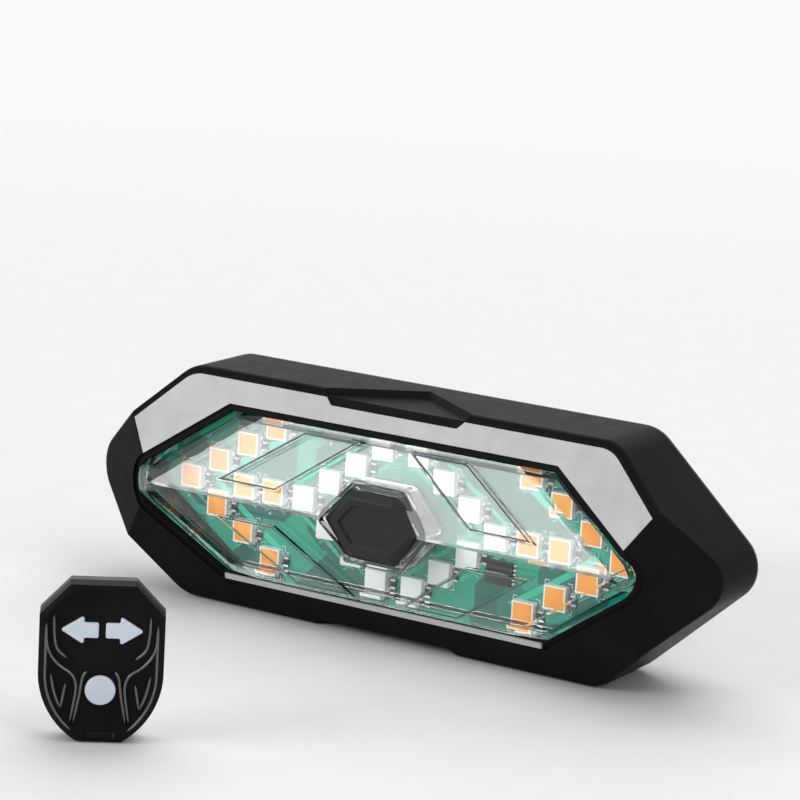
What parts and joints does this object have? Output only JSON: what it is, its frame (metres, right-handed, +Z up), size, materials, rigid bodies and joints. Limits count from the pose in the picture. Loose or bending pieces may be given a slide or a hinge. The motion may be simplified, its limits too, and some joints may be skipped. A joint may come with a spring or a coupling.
{
  "type": "bicycle turn signal light",
  "caption": "Hexagonal bicycle turn signal light with a faceted clear lens over an LED board, a push button, a rear seatpost bracket and a small key remote.",
  "frame": {"origin": "on the light's long lower side, on its left-right middle plane, 4 mm in front of the rear cover's rim", "axes": "+X along the light towards its right end seen from the front, +Y from its face to its back, +Z up"},
  "size_m": [0.1498, 0.1673, 0.0508],
  "materials": {
    "black_shell": "high gloss",
    "black_back": "fine matte",
    "silver_trim": "satin",
    "clear_lens": "clear gloss",
    "black_rubber": "matte",
    "button_rubber": "satin",
    "dark_plastic": "matte",
    "green_board": "satin solder mask",
    "led_amber": "cast resin in a white frame",
    "led_white": "cast resin in a white frame",
    "chip_black": "matte",
    "steel": "satin",
    "pouch_foil": "satin foil",
    "foam": "soft matte",
    "plug_white": "satin",
    "wire_red": "satin",
    "gold_pin": "bright",
    "key_white": "translucent satin"
  },
  "bodies": {
    "light": {"front_bezel": "black_shell", "upper_trim": "silver_trim", "lower_trim": "silver_trim", "lens": "clear_lens", "lens_gasket": "black_rubber", "button_switch": "chip_black", "led_board": "green_board", "amber_leds": "led_amber", "white_leds": "led_white", "resistors": "chip_black", "control_chip": "chip_black", "radio_module": "steel", "battery": "pouch_foil", "battery_foam": "foam", "battery_plug": "plug_white", "battery_wires": "wire_red", "charge_board": "green_board", "board_header": "gold_pin", "usb_socket": "steel", "usb_tongue": "dark_plastic", "rear_housing": "black_back", "housing_seal": "black_rubber", "rear_screws": "steel"},
    "button": {"power_button": "button_rubber", "switch_plunger": "dark_plastic"},
    "port_flap": {"usb_cover": "black_rubber"},
    "seatpost_bracket": {"mount_bracket": "black_back", "saddle_pad": "black_rubber", "strap": "black_rubber", "strap_pins": "steel"},
    "remote": {"remote_top_shell": "black_shell", "remote_back_shell": "black_back", "remote_switches": "chip_black", "remote_board": "green_board", "coin_cell": "steel", "cell_contact": "steel", "door_seal": "black_rubber", "remote_screws": "steel"},
    "left_key": {"left_arrow_key": "key_white"},
    "right_key": {"right_arrow_key": "key_white"},
    "middle_key": {"round_key": "key_white"},
    "cell_door": {"battery_door": "black_back"}
  },
  "joints": [
    {"name": "button_press", "type": "slide", "parent": "light", "child": "button", "axis": [0, 1, 0], "range_m": [0, 0.0006], "stiffness_N_per_m": 600, "springref_m": -0.002},
    {"name": "flap_hinge", "type": "hinge", "parent": "light", "child": "port_flap", "pos_m": [0.034, 0.0085, 0.0189], "axis": [1, 0, 0], "range_deg": [0, 110]},
    {"name": "bracket_slide", "type": "slide", "parent": "light", "child": "seatpost_bracket", "axis": [0, 0, -1], "range_m": [0, 0.018]},
    {"name": "remote_lift", "type": "slide", "parent": "light", "child": "remote", "axis": [0, 0, 1], "range_m": [0, 0.05]},
    {"name": "left_key_press", "type": "slide", "parent": "remote", "child": "left_key", "axis": [-0.5878, 0.809, 0], "range_m": [0, 0.0004], "stiffness_N_per_m": 300, "springref_m": -0.001},
    {"name": "right_key_press", "type": "slide", "parent": "remote", "child": "right_key", "axis": [-0.5878, 0.809, 0], "range_m": [0, 0.0004], "stiffness_N_per_m": 300, "springref_m": -0.001},
    {"name": "middle_key_press", "type": "slide", "parent": "remote", "child": "middle_key", "axis": [-0.5878, 0.809, 0], "range_m": [0, 0.0004], "stiffness_N_per_m": 300, "springref_m": -0.001},
    {"name": "cell_door_turn", "type": "hinge", "parent": "remote", "child": "cell_door", "pos_m": [-0.00845, -0.10231, 0.0159], "axis": [0.5878, -0.809, 0], "range_deg": [0, 35]}
  ]
}
